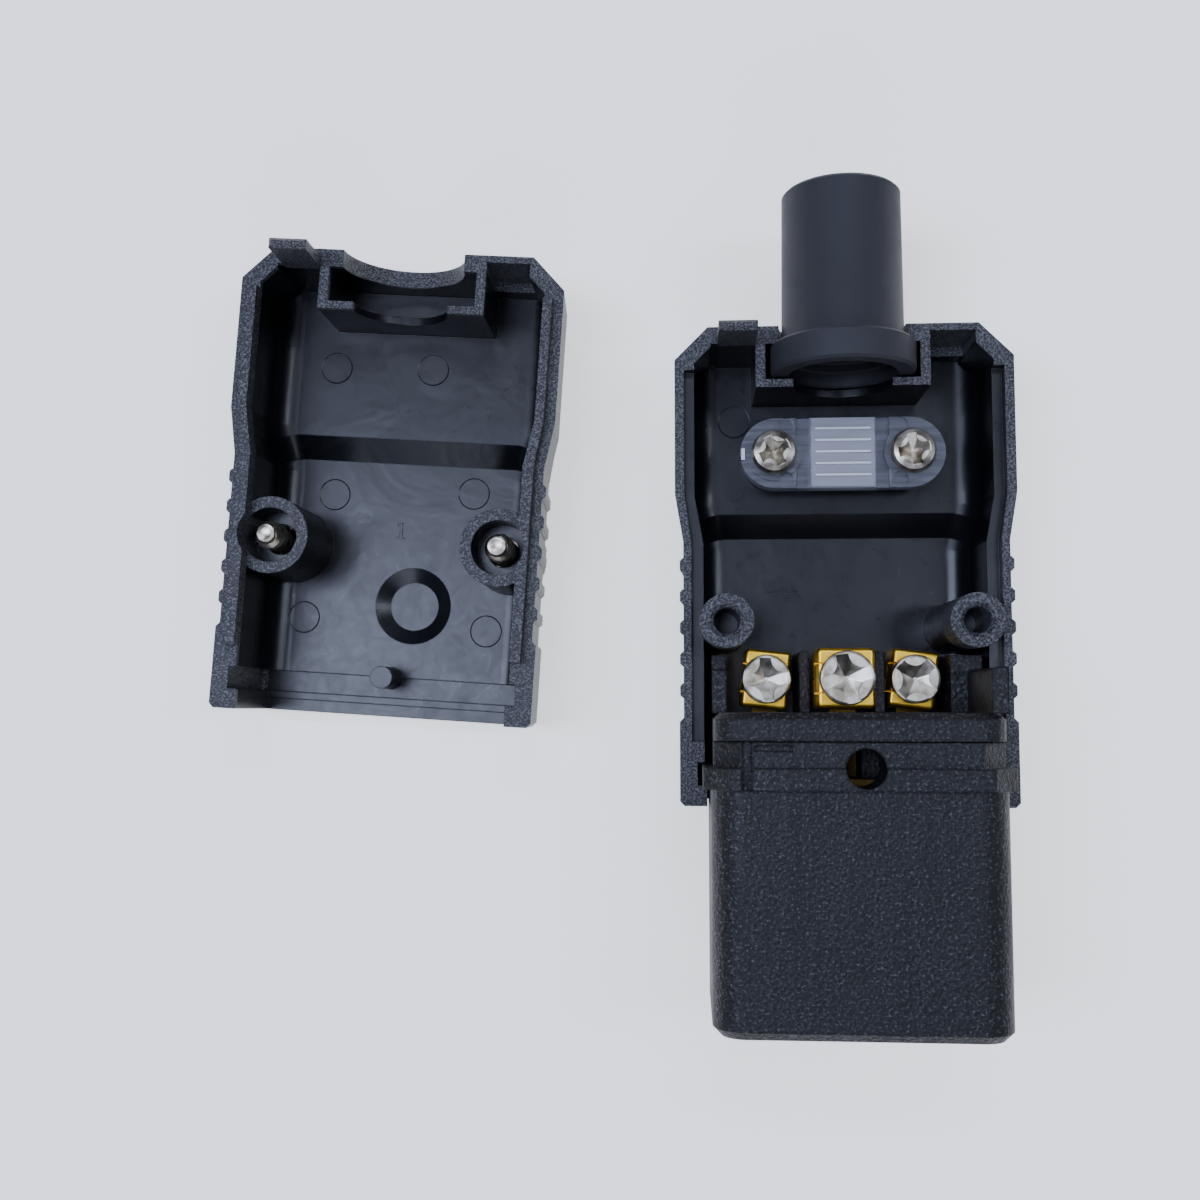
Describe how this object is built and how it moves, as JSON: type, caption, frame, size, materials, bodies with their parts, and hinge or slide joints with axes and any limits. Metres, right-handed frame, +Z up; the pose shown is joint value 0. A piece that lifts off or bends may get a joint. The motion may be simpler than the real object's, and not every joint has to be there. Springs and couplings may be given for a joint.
{
  "type": "rewirable appliance power connector",
  "caption": "Rewirable power connector for a cord end, opened: nose with blade slots, screw terminals, cord clamp, rubber boot and two shell halves.",
  "frame": {"origin": "centre of the flat front stretch of the base half's outer face, which lies on the table", "axes": "+Y towards the cord, +Z up out of the open base half, +X to the right"},
  "size_m": [0.0894, 0.0899, 0.0253],
  "materials": {
    "black_shell": "spark textured outside and on the rims, smooth inside",
    "black_nose": "fine moulded grain",
    "black_rubber": "satin",
    "clear_nylon": "translucent, natural",
    "brass": "bright stamped",
    "nickel_steel": "nickel plated, worn at the recesses"
  },
  "bodies": {
    "base": {"base_shell": "black_shell", "nose_body": "black_nose", "terminal_carrier": "black_nose", "contact_live": "brass", "contact_neutral": "brass", "contact_earth": "brass", "cable_boot": "black_rubber"},
    "cover": {"cover_shell": "black_shell"},
    "screw_live": {"terminal_screw_live": "nickel_steel"},
    "clamp_live": {"cage_live": "brass"},
    "screw_earth": {"terminal_screw_earth": "nickel_steel"},
    "clamp_earth": {"cage_earth": "brass"},
    "screw_neutral": {"terminal_screw_neutral": "nickel_steel"},
    "clamp_neutral": {"cage_neutral": "brass"},
    "clamp": {"clamp_bar": "clear_nylon"},
    "clamp_screw_left": {"clamp_screw_left": "nickel_steel"},
    "clamp_screw_right": {"clamp_screw_right": "nickel_steel"},
    "cover_screw_left": {"cover_screw_left": "nickel_steel"},
    "cover_screw_right": {"cover_screw_right": "nickel_steel"}
  },
  "joints": [
    {"name": "live_cage_travel", "type": "slide", "parent": "base", "child": "clamp_live", "axis": [0, 0, 1], "range_m": [-0.0015, 0]},
    {"name": "live_screw_turn", "type": "hinge", "parent": "base", "child": "screw_live", "pos_m": [-0.00855, -0.00063, 0.011], "axis": [0, 0, 1], "range_deg": [0, 905]},
    {"name": "earth_cage_travel", "type": "slide", "parent": "base", "child": "clamp_earth", "axis": [0, 0, 1], "range_m": [-0.0015, 0]},
    {"name": "earth_screw_turn", "type": "hinge", "parent": "base", "child": "screw_earth", "pos_m": [-0.0004, -0.00063, 0.017], "axis": [0, 0, 1], "range_deg": [0, 905]},
    {"name": "neutral_cage_travel", "type": "slide", "parent": "base", "child": "clamp_neutral", "axis": [0, 0, 1], "range_m": [-0.0015, 0]},
    {"name": "neutral_screw_turn", "type": "hinge", "parent": "base", "child": "screw_neutral", "pos_m": [0.00775, -0.00063, 0.011], "axis": [0, 0, 1], "range_deg": [0, 905]},
    {"name": "clamp_bar_lift", "type": "slide", "parent": "base", "child": "clamp", "axis": [0, 0, 1], "range_m": [0, 0.003]},
    {"name": "clamp_screw_left_turn", "type": "hinge", "parent": "clamp", "child": "clamp_screw_left", "pos_m": [-0.00745, 0.02497, 0.01], "axis": [0, 0, 1], "range_deg": [0, 1000]},
    {"name": "clamp_screw_right_turn", "type": "hinge", "parent": "clamp", "child": "clamp_screw_right", "pos_m": [0.00805, 0.02497, 0.01], "axis": [0, 0, 1], "range_deg": [0, 1000]},
    {"name": "cover_lift", "type": "slide", "parent": "base", "child": "cover", "axis": [0, 0, 1], "range_m": [0, 0.04]},
    {"name": "cover_screw_left_turn", "type": "hinge", "parent": "cover", "child": "cover_screw_left", "pos_m": [-0.0645, 0.01572, 0.008], "axis": [0, 0, 1], "continuous": true},
    {"name": "cover_screw_right_turn", "type": "hinge", "parent": "cover", "child": "cover_screw_right", "pos_m": [-0.03836, 0.01404, 0.008], "axis": [0, 0, 1], "continuous": true}
  ],
  "couplings": [
    {"joint": "live_screw_turn", "follows": "live_cage_travel", "rad_per_m": -10472},
    {"joint": "earth_screw_turn", "follows": "earth_cage_travel", "rad_per_m": -10472},
    {"joint": "neutral_screw_turn", "follows": "neutral_cage_travel", "rad_per_m": -10472},
    {"joint": "clamp_screw_left_turn", "follows": "clamp_bar_lift", "rad_per_m": 5712},
    {"joint": "clamp_screw_right_turn", "follows": "clamp_bar_lift", "rad_per_m": 5712}
  ]
}
